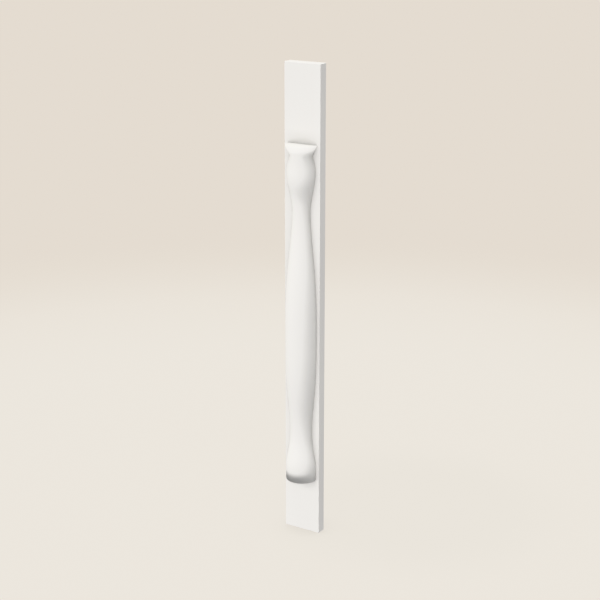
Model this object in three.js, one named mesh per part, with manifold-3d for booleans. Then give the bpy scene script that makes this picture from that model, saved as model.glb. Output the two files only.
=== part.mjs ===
// Pilaster: a plain backing board with half of a vase turning planted on its face.
// Millimetres, +Z up. The origin is the centre of the board's flat back, and the turning faces -Y.
import * as THREE from 'three';
import { mergeVertices } from 'three/addons/utils/BufferGeometryUtils.js';
import Module from 'manifold-3d';

const wasm = await Module();
wasm.setup();

// Backing board
const BOARD_DEPTH = 19.05;
const BOARD_ARRIS = 0.8; // the two long front edges are eased by this much
const SIDE_MARGIN = 6.35; // board showing on each side of the widest part of the turning
const PLAIN_BELOW = 110; // bare board under the foot
const PLAIN_ABOVE = 146.2; // bare board over the cap

// Split turning, from its foot up: each stretch rises this far
const FOOT_BAND = 25;
const BELL_RISE = 77.5;
const LOWER_SHAFT_RISE = 203.5;
const UPPER_SHAFT_RISE = 228;
const VASE_RISE = 77;
const SHOULDER_RISE = 26.5;
const FLARE_RISE = 17.9;
const CAP_BAND = 2.8;

// Radii of the turning where its stretches meet
const FOOT_RADIUS = 31;
const LOWER_NECK_RADIUS = 22.3;
const BELLY_RADIUS = 31.75;
const UPPER_NECK_RADIUS = 17.7;
const VASE_RADIUS = 28.3;
const QUIRK_RADIUS = 22; // the sharp nick between the vase and the cap
const CAP_RADIUS = 31.5;
const RIM_ROUNDING = 1.2; // the edges under the foot and over the cap

// How early each swell or hollow makes its turn: 0 is even, above 0 is nearer its lower end
const BELL_LEAN = 0.39;
const LOWER_SHAFT_LEAN = 0.75;
const UPPER_SHAFT_LEAN = -0.41;
const VASE_LEAN = 0.15;
const SHOULDER_LEAN = 0.15;

const GLUE_LINE = 0.3; // between the board's face and the sawn back of the turning

// Facets
const ROUND_SEGMENTS = 72;
const RING_SPACING = 9;
const FEWEST_RINGS = 6;
const ROUNDING_STEPS = 3;

const widestRadius = Math.max(FOOT_RADIUS, BELLY_RADIUS, VASE_RADIUS, CAP_RADIUS);
const boardWidth = 2 * (widestRadius + SIDE_MARGIN);
const turningLength = FOOT_BAND + BELL_RISE + LOWER_SHAFT_RISE + UPPER_SHAFT_RISE
  + VASE_RISE + SHOULDER_RISE + FLARE_RISE + CAP_BAND;
const boardHeight = PLAIN_BELOW + turningLength + PLAIN_ABOVE;

// Paths from 0 to 1 that a radius takes along its stretch
const straight = (t) => t;
const leaning = (t, lean) => t + lean * t * (1 - t);
const sCurve = (lean) => (t) => (1 - Math.cos(Math.PI * leaning(t, lean))) / 2;
const quarterTurn = (lean) => (t) => 1 - Math.cos((Math.PI / 2) * leaning(t, lean));

const STRETCHES = [
  { rise: FOOT_BAND, to: FOOT_RADIUS, path: straight },
  { rise: BELL_RISE, to: LOWER_NECK_RADIUS, path: sCurve(BELL_LEAN) },
  { rise: LOWER_SHAFT_RISE, to: BELLY_RADIUS, path: sCurve(LOWER_SHAFT_LEAN) },
  { rise: UPPER_SHAFT_RISE, to: UPPER_NECK_RADIUS, path: sCurve(UPPER_SHAFT_LEAN) },
  { rise: VASE_RISE, to: VASE_RADIUS, path: sCurve(VASE_LEAN) },
  { rise: SHOULDER_RISE, to: QUIRK_RADIUS, path: quarterTurn(SHOULDER_LEAN) },
  { rise: FLARE_RISE, to: CAP_RADIUS, path: straight },
  { rise: CAP_BAND, to: CAP_RADIUS, path: straight },
];

// A quarter round whose centre is at this height; upward runs over the rim, downward runs under it
function rimRounding(centreHeight, rimRadius, upward) {
  const points = [];
  for (let i = 0; i <= ROUNDING_STEPS; i += 1) {
    const share = upward ? i / ROUNDING_STEPS : 1 - i / ROUNDING_STEPS;
    const angle = (Math.PI / 2) * share;
    const radius = rimRadius - RIM_ROUNDING + RIM_ROUNDING * Math.cos(angle);
    const lift = RIM_ROUNDING * Math.sin(angle) * (upward ? 1 : -1);
    points.push(new THREE.Vector2(radius, centreHeight + lift));
  }
  return points;
}

// Outline of the whole turning as (radius, height above its foot), from axis to axis
function turningOutline() {
  const outline = [new THREE.Vector2(0, 0), ...rimRounding(RIM_ROUNDING, FOOT_RADIUS, false)];
  let height = 0;
  let from = FOOT_RADIUS;
  for (const { rise, to, path } of STRETCHES) {
    const rings = path === straight ? 1 : Math.max(FEWEST_RINGS, Math.round(rise / RING_SPACING));
    for (let ring = 1; ring <= rings; ring += 1) {
      const t = ring / rings;
      outline.push(new THREE.Vector2(from + (to - from) * path(t), height + rise * t));
    }
    height += rise;
    from = to;
  }
  outline.pop();
  outline.push(...rimRounding(turningLength - RIM_ROUNDING, CAP_RADIUS, true));
  outline.push(new THREE.Vector2(0, turningLength));
  return outline;
}

function toSolid(geometry) {
  const bare = geometry.clone();
  bare.deleteAttribute('normal');
  bare.deleteAttribute('uv');
  const merged = mergeVertices(bare);
  return new wasm.Manifold(new wasm.Mesh({
    numProp: 3,
    vertProperties: new Float32Array(merged.attributes.position.array),
    triVerts: new Uint32Array(merged.index.array),
  }));
}

function toGeometry(solid) {
  const { vertProperties, triVerts } = solid.getMesh();
  const geometry = new THREE.BufferGeometry();
  geometry.setAttribute('position', new THREE.BufferAttribute(vertProperties, 3));
  geometry.setIndex(new THREE.BufferAttribute(triVerts, 1));
  geometry.computeVertexNormals();
  return geometry;
}

// The board is one section run its whole height and cut square at both ends
function boardGeometry() {
  const half = boardWidth / 2;
  const section = new THREE.Shape([
    new THREE.Vector2(-half, 0),
    new THREE.Vector2(-half, BOARD_ARRIS - BOARD_DEPTH),
    new THREE.Vector2(BOARD_ARRIS - half, -BOARD_DEPTH),
    new THREE.Vector2(half - BOARD_ARRIS, -BOARD_DEPTH),
    new THREE.Vector2(half, BOARD_ARRIS - BOARD_DEPTH),
    new THREE.Vector2(half, 0),
  ]);
  return new THREE.ExtrudeGeometry(section, { depth: boardHeight, bevelEnabled: false });
}

// The turning is made whole about the Z axis, then everything behind its sawn back is cut away
function splitTurningGeometry() {
  const whole = new THREE.LatheGeometry(turningOutline(), ROUND_SEGMENTS);
  whole.rotateX(Math.PI / 2);
  const sawOff = new THREE.BoxGeometry(4 * widestRadius, 2 * widestRadius, 2 * turningLength);
  sawOff.translate(0, widestRadius - GLUE_LINE, turningLength / 2);
  return toGeometry(toSolid(whole).subtract(toSolid(sawOff)));
}

const boardPaint = new THREE.MeshStandardMaterial({ color: 0xeeece7, roughness: 0.65, metalness: 0 });
const turningPaint = new THREE.MeshStandardMaterial({ color: 0xf0eee9, roughness: 0.65, metalness: 0 });

const board = new THREE.Mesh(boardGeometry(), boardPaint);
board.name = 'backing_board';

// The turning's axis lies in the board's face
const turning = new THREE.Mesh(splitTurningGeometry(), turningPaint);
turning.name = 'split_baluster';
turning.position.set(0, -BOARD_DEPTH, PLAIN_BELOW);

const pilaster = new THREE.Group();
pilaster.add(board, turning);
pilaster.position.z = -boardHeight / 2;

export default pilaster;
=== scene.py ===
"""A white painted pilaster: a split turning planted on a plain board, on a seamless pale sweep."""
import math

import bpy
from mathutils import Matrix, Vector


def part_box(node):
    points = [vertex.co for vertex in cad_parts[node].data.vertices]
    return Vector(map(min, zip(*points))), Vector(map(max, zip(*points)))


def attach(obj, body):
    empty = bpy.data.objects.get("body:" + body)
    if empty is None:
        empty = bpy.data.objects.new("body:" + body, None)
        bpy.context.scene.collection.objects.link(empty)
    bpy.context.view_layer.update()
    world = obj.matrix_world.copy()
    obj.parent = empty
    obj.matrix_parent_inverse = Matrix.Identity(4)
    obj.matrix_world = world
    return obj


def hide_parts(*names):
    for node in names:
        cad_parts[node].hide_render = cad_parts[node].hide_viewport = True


MM = 0.001

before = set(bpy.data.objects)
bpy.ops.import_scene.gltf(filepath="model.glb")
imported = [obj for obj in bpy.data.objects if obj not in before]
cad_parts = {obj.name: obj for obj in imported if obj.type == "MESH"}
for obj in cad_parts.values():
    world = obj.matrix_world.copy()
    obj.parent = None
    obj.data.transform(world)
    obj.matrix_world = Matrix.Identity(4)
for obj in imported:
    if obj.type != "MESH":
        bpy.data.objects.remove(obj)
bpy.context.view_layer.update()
BOARD_LOW, BOARD_HIGH = (Vector(corner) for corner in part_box("backing_board"))
TURNING_LOW, TURNING_HIGH = (Vector(corner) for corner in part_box("split_baluster"))
HEIGHT = BOARD_HIGH.z - BOARD_LOW.z

# The camera looks at the middle of the board from the right and a little above
AZIMUTH = math.radians(31.96)
ELEVATION = math.radians(17.0)
DISTANCE = 2.854 * HEIGHT
AIM_RIGHT = -0.01557 * HEIGHT
AIM_UP = 0.01059 * HEIGHT
LENS_MM = 82.92
SENSOR_MM = 36.0

# The board's edges as planed and then rounded over by paint
ARRIS_ROUND = 0.8 * MM
ARRIS_SEGMENTS = 3
END_ROUND = 0.35 * MM
END_SEGMENTS = 2
SHARPER_THAN = math.radians(50)
SMOOTH_BELOW = math.radians(35)

# The turning, from its foot up: each stretch's height, the radius at its top and how it gets there
FOOT_RADIUS = 31 * MM
CAP_RADIUS = 31.5 * MM
STRETCHES = [
    (25 * MM, FOOT_RADIUS, "band", 0),
    (77.5 * MM, 22.3 * MM, "swell", 0.39),
    (203.5 * MM, 31.75 * MM, "swell", 0.75),
    (228 * MM, 17.7 * MM, "swell", -0.41),
    (77 * MM, 28.3 * MM, "swell", 0.15),
    (26.5 * MM, 22 * MM, "shoulder", 0.15),
    (17.9 * MM, CAP_RADIUS, "band", 0),
    (2.8 * MM, CAP_RADIUS, "band", 0),
]
FOOT_RIM_ROUND = 0.4 * MM
CAP_RIM_ROUND = 1.2 * MM
RIM_STEPS = 4
RING_SPACING = 4 * MM
TURNING_STEPS = 128
MERGE_DISTANCE = 0.01 * MM
SQUARE_ON = 0.99  # a face whose normal has this much of an axis is flat across it

# How many degrees the shading faces up at heights over the foot; None keeps the form's own slope
QUIRK = sum(stretch[0] for stretch in STRETCHES[:-2])
SOFT_TURNS = [
    (0, -50), (2 * MM, -48), (24 * MM, 0), (26 * MM, None),
    (QUIRK - 103 * MM, None), (QUIRK - 102.5 * MM, 0), (QUIRK - 66 * MM, -9), (QUIRK - 26.5 * MM, 4),
    (QUIRK, 0), (QUIRK + 6 * MM, 2), (QUIRK + 14 * MM, 42), (QUIRK + 22 * MM, 55),
]

# The paint, on the front and on the back
BOARD_WHITE = (0.86, 0.85, 0.82)
TURNING_WHITE = (0.87, 0.86, 0.83)
WORN = 0.965
PRIMER = (0.78, 0.76, 0.71)
THIN = 0.9
BACK_ZONE = (-0.6 * MM, -0.3 * MM)
ROUGHNESS = 0.65
ROUGHNESS_SPREAD = 0.05
SPECULAR_LEVEL = 0.3

# How many features a metre the paint has along each axis, and how high the marks stand
PATCHES = (9, 9, 3)
PATCH_RANGE = (0.35, 0.65)  # the part of the noise that is used
MARK_RANGE = (0.3, 0.7)
BRUSH_MARKS = (700, 700, 9)
BRUSH_HEIGHT = 0.02 * MM
LATHE_MARKS = (12, 12, 1100)
LATHE_HEIGHT = 0.01 * MM

# Painted shade in corners, darkening the paint's colour: its reach and what is left of the colour in
# the deepest corner
BOARD_CORNERS = (28 * MM, 0.06)
TURNING_CORNERS = (21 * MM, 0.42)
CORNER_SAMPLES = 8
TOP_SHADE_POWER = 2.8  # faces that look up are shaded this much more steeply
FACING_UP = (0.7, 0.9)
FLOOR_ZONE = (21 * MM, 42 * MM)  # over the floor the shade comes in between these heights
SHELTERED = 10 * MM  # it fades out from here to twice as far from the board's face

# The studio's sweep and the room's light, in linear colours before the view transform
SWEEP_RADIUS = 30
SWEEP_SIDES = 96
SWEEP_NEAR = (0.925, 0.877, 0.803)
BACKDROP = (0.829, 0.763, 0.687)
BACKDROP_FADE = (1.05 * HEIGHT, 2.55 * HEIGHT)
# A painted soft shadow on the floor, and painted contact shade where the floor meets the pilaster
SHADOW_CENTRE = (0.16 * HEIGHT, 0.21 * HEIGHT)
SHADOW_EDGE = (0.18 * HEIGHT, 0.38 * HEIGHT)
SHADOW_SHADE = 0.955
CONTACT_REACH = 80 * MM
CONTACT_SHADE = 0.91
ROOM_LIGHT = (0.523, 0.521, 0.528)
ROOM_LEFT = (0.7, 0.69, 0.63)
ROOM_LOW_LEFT = (0.38, 0.38, 0.385)
LEFT = (-0.9, 0, 0.44)
LOW_LEFT = (-0.6, -0.2, -0.77)

# The lamps: azimuth and elevation in degrees, strength and colour
KEY_LAMP = (-20, 55, 3.93, (1.0, 0.985, 0.985))
RIGHT_LAMP = (98, 10, 0.53, (1.0, 0.98, 0.95))
LAMP_SPREAD = math.radians(30)


def start_mesh(name):
    """Takes the newest primitive as a piece under this name."""
    piece = bpy.context.object
    piece.name = name
    piece.data.name = name
    return piece


def place_in_mesh(piece):
    """Leaves the piece's object at the origin, unturned and unscaled."""
    bpy.ops.object.select_all(action="DESELECT")
    piece.select_set(True)
    bpy.context.view_layer.objects.active = piece
    bpy.ops.object.transform_apply(location=True, rotation=True, scale=True)


def backing_board():
    """The flat board: a block at its planed size with its edges rounded over."""
    bpy.ops.object.select_all(action="DESELECT")
    bpy.ops.mesh.primitive_cube_add(size=1, location=(BOARD_LOW + BOARD_HIGH) / 2)
    board = start_mesh("painted_backing_board")
    board.scale = BOARD_HIGH - BOARD_LOW
    place_in_mesh(board)
    bpy.ops.object.mode_set(mode="EDIT")
    bpy.ops.mesh.select_all(action="DESELECT")
    bpy.ops.object.mode_set(mode="OBJECT")
    for edge in board.data.edges:
        a, b = (board.data.vertices[i].co for i in edge.vertices)
        edge.select = abs(a.z - b.z) > HEIGHT / 2 and a.y < BOARD_HIGH.y - ARRIS_ROUND
    bpy.ops.object.mode_set(mode="EDIT")
    bpy.ops.mesh.bevel(offset=ARRIS_ROUND, segments=ARRIS_SEGMENTS, affect="EDGES")
    bpy.ops.object.mode_set(mode="OBJECT")
    soften = board.modifiers.new("end rounding", "BEVEL")
    soften.width = END_ROUND
    soften.segments = END_SEGMENTS
    soften.limit_method = "ANGLE"
    soften.angle_limit = SHARPER_THAN
    soften.harden_normals = False
    bpy.ops.object.modifier_apply(modifier=soften.name)
    bpy.ops.object.shade_smooth_by_angle(angle=SMOOTH_BELOW)
    flatten = board.modifiers.new("flat faces", "WEIGHTED_NORMAL")
    flatten.keep_sharp = True
    flatten.weight = 100
    bpy.ops.object.modifier_apply(modifier=flatten.name)
    return board


def radius_path(form, lean, t):
    """The share of a stretch's change of radius that is done at share t of its height."""
    leaning = t + lean * t * (1 - t)
    if form == "band":
        return t
    if form == "shoulder":
        return 1 - math.cos(math.pi / 2 * leaning)
    return (1 - math.cos(math.pi * leaning)) / 2


def rounded_rim(radius, rounding):
    """Points of a rounded rim from the side to the flat end, as (radius, height over the flat end)."""
    angles = [math.pi / 2 * step / RIM_STEPS for step in range(RIM_STEPS + 1)]
    return [(radius - rounding * (1 - math.cos(a)), rounding * (math.sin(a) - 1)) for a in angles]


def turning_outline():
    """Points of the turning's outline as (radius, height over its foot), axis to axis."""
    foot_rim = reversed(rounded_rim(FOOT_RADIUS, FOOT_RIM_ROUND))
    points = [(0, 0)] + [(radius, -over_end) for radius, over_end in foot_rim]
    height, before = 0, FOOT_RADIUS
    for rise, radius, form, lean in STRETCHES:
        rings = max(2, round(rise / RING_SPACING))
        for ring in range(1, rings + 1):
            t = ring / rings
            here = before + (radius - before) * radius_path(form, lean, t)
            points.append((here, height + rise * t))
        height, before = height + rise, radius
    points.pop()
    cap_rim = rounded_rim(CAP_RADIUS, CAP_RIM_ROUND)
    return points + [(radius, height + over_end) for radius, over_end in cap_rim] + [(0, height)]


def is_sawn(face):
    """Whether a face of the turning belongs to its sawn back."""
    return face.normal.y > SQUARE_ON


def is_flat_end(face):
    """Whether a face of the turning belongs to its flat top or underside."""
    return abs(face.normal.z) > SQUARE_ON


def split_baluster():
    """The turning is drawn as an outline, spun round its axis and sawn down the middle."""
    axis_y = BOARD_LOW.y
    outline = [Vector((radius, axis_y, TURNING_LOW.z + height)) for radius, height in turning_outline()]
    bpy.ops.object.select_all(action="DESELECT")
    bpy.ops.mesh.primitive_plane_add(size=1 * MM, location=outline[0])
    turning = start_mesh("painted_split_baluster")
    place_in_mesh(turning)
    bpy.ops.object.mode_set(mode="EDIT")
    bpy.ops.mesh.merge(type="CENTER")
    for here, there in zip(outline, outline[1:]):
        bpy.ops.mesh.extrude_vertices_move(TRANSFORM_OT_translate={"value": there - here})
    bpy.ops.mesh.select_all(action="SELECT")
    bpy.ops.mesh.spin(steps=TURNING_STEPS, angle=2 * math.pi, center=(0, axis_y, 0), axis=(0, 0, 1))
    bpy.ops.mesh.select_all(action="SELECT")
    bpy.ops.mesh.remove_doubles(threshold=MERGE_DISTANCE)
    bpy.ops.mesh.normals_make_consistent(inside=False)
    saw_cut = (0, TURNING_HIGH.y, 0)
    bpy.ops.mesh.bisect(plane_co=saw_cut, plane_no=(0, 1, 0), use_fill=True, clear_outer=True)
    bpy.ops.mesh.select_mode(type="FACE")
    bpy.ops.mesh.select_all(action="DESELECT")
    bpy.ops.object.mode_set(mode="OBJECT")
    for face in turning.data.polygons:
        face.select = is_sawn(face) or is_flat_end(face)
    bpy.ops.object.mode_set(mode="EDIT")
    bpy.ops.mesh.dissolve_limited(angle_limit=math.radians(1))
    bpy.ops.mesh.select_all(action="DESELECT")
    bpy.ops.object.mode_set(mode="OBJECT")
    sawn_faces = [face for face in turning.data.polygons if is_sawn(face)]
    sawn_edges = {frozenset(key) for face in sawn_faces for key in face.edge_keys}
    for edge in turning.data.edges:
        edge.use_edge_sharp = frozenset(edge.vertices) in sawn_edges
    bpy.ops.object.shade_smooth()
    soften_rims(turning)
    return turning


def soft_turn(height):
    """How far the shading faces up at a height over the foot, or None where the form's slope holds."""
    for (low, from_turn), (high, to_turn) in zip(SOFT_TURNS, SOFT_TURNS[1:]):
        if None not in (from_turn, to_turn) and low <= height <= high:
            t = (height - low) / (high - low)
            return math.radians(from_turn + (to_turn - from_turn) * t * t * (3 - 2 * t))
    return None


def soften_rims(turning):
    """Lets the light roll round the foot, the cap and the quirk, which thick paint has softened."""
    mesh = turning.data
    normals = [Vector(corner.vector) for corner in mesh.corner_normals]
    for face in mesh.polygons:
        if is_sawn(face) or is_flat_end(face):
            continue
        for loop in face.loop_indices:
            place = mesh.vertices[mesh.loops[loop].vertex_index].co
            turn = soft_turn(round(place.z - TURNING_LOW.z, 6))
            if turn is not None:
                outward = Vector((place.x, place.y - BOARD_LOW.y, 0)).normalized()
                normals[loop] = outward * math.cos(turn) + Vector((0, 0, math.sin(turn)))
    mesh.normals_split_custom_set(normals)


def texture(nodes, links, coordinates, stretch, detail):
    """Noise from 0 to 1 with this many features a metre along each axis."""
    spread = nodes.new("ShaderNodeMapping")
    spread.inputs["Scale"].default_value = stretch
    links.new(coordinates, spread.inputs["Vector"])
    noise = nodes.new("ShaderNodeTexNoise")
    noise.inputs["Scale"].default_value = 1
    noise.inputs["Detail"].default_value = detail
    links.new(spread.outputs["Vector"], noise.inputs["Vector"])
    return noise.outputs["Fac"]


def ranged(nodes, links, value, low, high, to_low, to_high, ease="SMOOTHSTEP"):
    """A value that goes from to_low to to_high while the given one runs from low to high."""
    stretch = nodes.new("ShaderNodeMapRange")
    stretch.interpolation_type = ease
    limits = {"From Min": low, "From Max": high, "To Min": to_low, "To Max": to_high}
    for socket, number in limits.items():
        stretch.inputs[socket].default_value = number
    links.new(value, stretch.inputs["Value"])
    return stretch.outputs["Result"]


def blended(nodes, links, share, first, second):
    """A colour between two others, each a colour or another socket."""
    mix = nodes.new("ShaderNodeMix")
    mix.data_type = "RGBA"
    links.new(share, mix.inputs["Factor"])
    colours = [socket for socket in mix.inputs if socket.type == "RGBA"]
    for socket, colour in zip(colours, (first, second)):
        if isinstance(colour, tuple):
            socket.default_value = (*colour, 1)
        else:
            links.new(colour, socket)
    return next(socket for socket in mix.outputs if socket.type == "RGBA")


def scaled(nodes, links, colour, share):
    """A colour made darker by a share."""
    darker = nodes.new("ShaderNodeVectorMath")
    darker.operation = "SCALE"
    links.new(colour, darker.inputs["Vector"])
    links.new(share, darker.inputs["Scale"])
    return darker.outputs["Vector"]


def combined(nodes, links, operation, first, second):
    """Two values put together by the named operation."""
    result = nodes.new("ShaderNodeMath")
    result.operation = operation
    links.new(first, result.inputs[0])
    links.new(second, result.inputs[1])
    return result.outputs["Value"]


def satin_paint(name, colour, corners, marks, mark_height):
    """White satin paint with marks of brush or lathe, thinner on the back, with painted shade darkening
    its colour in the corners.
    """
    material = bpy.data.materials.new(name)
    material.use_nodes = True
    nodes, links = material.node_tree.nodes, material.node_tree.links
    shader = nodes["Principled BSDF"]
    place = nodes.new("ShaderNodeTexCoord").outputs["Object"]
    corner = nodes.new("ShaderNodeAmbientOcclusion")
    corner.inputs["Distance"].default_value = corners[0]
    corner.samples = CORNER_SAMPLES
    true_normal = nodes.new("ShaderNodeNewGeometry").outputs["True Normal"]
    links.new(true_normal, corner.inputs["Normal"])
    patches = texture(nodes, links, place, PATCHES, 2)
    worn = tuple(WORN * channel for channel in colour)
    coat = blended(nodes, links, ranged(nodes, links, patches, *PATCH_RANGE, 0, 1), worn, colour)
    depth = nodes.new("ShaderNodeSeparateXYZ")
    links.new(place, depth.inputs["Vector"])
    back = ranged(nodes, links, depth.outputs["Y"], *BACK_ZONE, 0, 1)
    strokes = texture(nodes, links, place, marks, 3)
    thin = tuple(THIN * channel for channel in PRIMER)
    primed = blended(nodes, links, ranged(nodes, links, strokes, *MARK_RANGE, 0, 1), thin, PRIMER)
    front_and_back = blended(nodes, links, back, coat, primed)
    # Painted shade: ambient occlusion darkens the colour in corners, more steeply on faces that look up
    painted_corner_shade = ranged(nodes, links, corner.outputs["AO"], 0, 1, corners[1], 1, "LINEAR")
    floor_zone = [BOARD_LOW.z + height for height in FLOOR_ZONE]
    near_floor = ranged(nodes, links, depth.outputs["Z"], *floor_zone, 1, 0)
    open_zone = [BOARD_LOW.y - 2 * SHELTERED, BOARD_LOW.y - SHELTERED]
    standing_out = ranged(nodes, links, depth.outputs["Y"], *open_zone, 1, 0)
    facing = nodes.new("ShaderNodeSeparateXYZ")
    links.new(true_normal, facing.inputs["Vector"])
    upright = ranged(nodes, links, facing.outputs["Z"], *FACING_UP, 1, 0)
    shade_power = ranged(nodes, links, facing.outputs["Z"], *FACING_UP, 1, TOP_SHADE_POWER)
    shade = combined(nodes, links, "POWER", painted_corner_shade, shade_power)
    open_front = combined(nodes, links, "MULTIPLY", standing_out, upright)
    unshaded = combined(nodes, links, "MAXIMUM", near_floor, open_front)
    painted_shade_share = combined(nodes, links, "MAXIMUM", shade, unshaded)
    links.new(scaled(nodes, links, front_and_back, painted_shade_share), shader.inputs["Base Color"])
    shader.inputs["Specular IOR Level"].default_value = SPECULAR_LEVEL
    glossiest, dullest = ROUGHNESS - ROUGHNESS_SPREAD, ROUGHNESS + ROUGHNESS_SPREAD
    roughness = ranged(nodes, links, strokes, *MARK_RANGE, glossiest, dullest)
    links.new(roughness, shader.inputs["Roughness"])
    bump = nodes.new("ShaderNodeBump")
    bump.inputs["Distance"].default_value = mark_height
    bump.inputs["Strength"].default_value = 1
    links.new(strokes, bump.inputs["Height"])
    links.new(bump.outputs["Normal"], shader.inputs["Normal"])
    return material


def studio_camera():
    """The camera at the photograph's viewing angle."""
    camera = bpy.data.objects.new("camera", bpy.data.cameras.new("camera"))
    bpy.context.collection.objects.link(camera)
    middle = (BOARD_LOW.z + BOARD_HIGH.z) / 2
    aim = Vector((AIM_RIGHT * math.cos(AZIMUTH), AIM_RIGHT * math.sin(AZIMUTH), middle + AIM_UP))
    back = Vector((math.sin(AZIMUTH) * math.cos(ELEVATION), -math.cos(AZIMUTH) * math.cos(ELEVATION),
                   math.sin(ELEVATION)))
    camera.location = aim + back * DISTANCE
    camera.rotation_euler = (-back).to_track_quat("-Z", "Y").to_euler()
    camera.data.lens = LENS_MM
    camera.data.sensor_width = SENSOR_MM
    camera.data.clip_end = 100
    bpy.context.scene.camera = camera


def sun(name, azimuth, elevation, strength, colour):
    """A wide distant lamp; azimuth 0 stands in front of the pilaster and grows towards its right."""
    lamp = bpy.data.objects.new(name, bpy.data.lights.new(name, "SUN"))
    bpy.context.collection.objects.link(lamp)
    a, e = math.radians(azimuth), math.radians(elevation)
    towards = Vector((math.sin(a) * math.cos(e), -math.cos(a) * math.cos(e), math.sin(e)))
    lamp.rotation_euler = towards.to_track_quat("Z", "Y").to_euler()
    lamp.data.energy = strength
    lamp.data.color = colour
    lamp.data.angle = LAMP_SPREAD
    lamp.data.use_shadow = False


def distance_on_floor(nodes, links, place, centre):
    """How far a point of the floor lies from a centre."""
    offset = nodes.new("ShaderNodeVectorMath")
    offset.operation = "DISTANCE"
    offset.inputs[1].default_value = (*centre, 0)
    flat = nodes.new("ShaderNodeVectorMath")
    flat.operation = "MULTIPLY"
    flat.inputs[1].default_value = (1, 1, 0)
    links.new(place, flat.inputs[0])
    links.new(flat.outputs["Vector"], offset.inputs[0])
    return offset.outputs["Value"]


def studio_sweep():
    """The pale floor: it glows evenly, fades into the backdrop far off and has a faint painted shadow
    and contact shade.
    """
    bpy.ops.object.select_all(action="DESELECT")
    floor_middle = (0, 0, BOARD_LOW.z)
    bpy.ops.mesh.primitive_circle_add(vertices=SWEEP_SIDES, radius=SWEEP_RADIUS, fill_type="NGON",
                                      location=floor_middle)
    sweep = start_mesh("studio_sweep")
    place_in_mesh(sweep)
    material = bpy.data.materials.new("sweep paper")
    material.use_nodes = True
    nodes, links = material.node_tree.nodes, material.node_tree.links
    shader = nodes["Principled BSDF"]
    shader.inputs["Base Color"].default_value = (0, 0, 0, 1)
    shader.inputs["Specular IOR Level"].default_value = 0
    place = nodes.new("ShaderNodeTexCoord").outputs["Object"]
    from_middle = distance_on_floor(nodes, links, place, (0, 0))
    fade = ranged(nodes, links, from_middle, *BACKDROP_FADE, 0, 1)
    paper = blended(nodes, links, fade, SWEEP_NEAR, BACKDROP)
    # Painted shadow and painted contact shade darken the floor's glow
    from_shadow = distance_on_floor(nodes, links, place, SHADOW_CENTRE)
    painted_shadow = ranged(nodes, links, from_shadow, *SHADOW_EDGE, SHADOW_SHADE, 1)
    contact = nodes.new("ShaderNodeAmbientOcclusion")
    contact.inputs["Distance"].default_value = CONTACT_REACH
    painted_contact_shade = ranged(nodes, links, contact.outputs["AO"], 0.5, 1, CONTACT_SHADE, 1)
    shaded = scaled(nodes, links, scaled(nodes, links, paper, painted_shadow), painted_contact_shade)
    links.new(shaded, shader.inputs["Emission Color"])
    shader.inputs["Emission Strength"].default_value = 1
    sweep.data.materials.append(material)
    sweep.visible_diffuse = False
    sweep.visible_glossy = False


def towards(nodes, links, direction):
    """How nearly a direction of the room points a given way, from 0 at a right angle to 1."""
    likeness = nodes.new("ShaderNodeVectorMath")
    likeness.operation = "DOT_PRODUCT"
    likeness.inputs[1].default_value = direction
    links.new(nodes.new("ShaderNodeTexCoord").outputs["Generated"], likeness.inputs[0])
    return ranged(nodes, links, likeness.outputs["Value"], 0, 1, 0, 1)


def studio_world():
    """A soft room that lights the pilaster, seen by the camera as the plain backdrop colour."""
    world = bpy.data.worlds.new("studio")
    world.use_nodes = True
    nodes, links = world.node_tree.nodes, world.node_tree.links
    room = nodes["Background"]
    room.inputs["Strength"].default_value = 1
    backdrop = nodes.new("ShaderNodeBackground")
    backdrop.inputs["Color"].default_value = (*BACKDROP, 1)
    walls = blended(nodes, links, towards(nodes, links, LEFT), ROOM_LIGHT, ROOM_LEFT)
    room_light = blended(nodes, links, towards(nodes, links, LOW_LEFT), walls, ROOM_LOW_LEFT)
    links.new(room_light, room.inputs["Color"])
    seen = nodes.new("ShaderNodeMixShader")
    links.new(nodes.new("ShaderNodeLightPath").outputs["Is Camera Ray"], seen.inputs["Fac"])
    links.new(room.outputs["Background"], seen.inputs[1])
    links.new(backdrop.outputs["Background"], seen.inputs[2])
    links.new(seen.outputs["Shader"], nodes["World Output"].inputs["Surface"])
    bpy.context.scene.world = world


studio_camera()
board = backing_board()
board_paint = satin_paint("board paint", BOARD_WHITE, BOARD_CORNERS, BRUSH_MARKS, BRUSH_HEIGHT)
board.data.materials.append(board_paint)
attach(board, "root")
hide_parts("backing_board")
turning = split_baluster()
turning_paint = satin_paint("turning paint", TURNING_WHITE, TURNING_CORNERS, LATHE_MARKS, LATHE_HEIGHT)
turning.data.materials.append(turning_paint)
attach(turning, "root")
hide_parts("split_baluster")
studio_sweep()
sun("key", *KEY_LAMP)
sun("right_fill", *RIGHT_LAMP)
studio_world()
bpy.context.scene.view_settings.view_transform = "Khronos PBR Neutral"
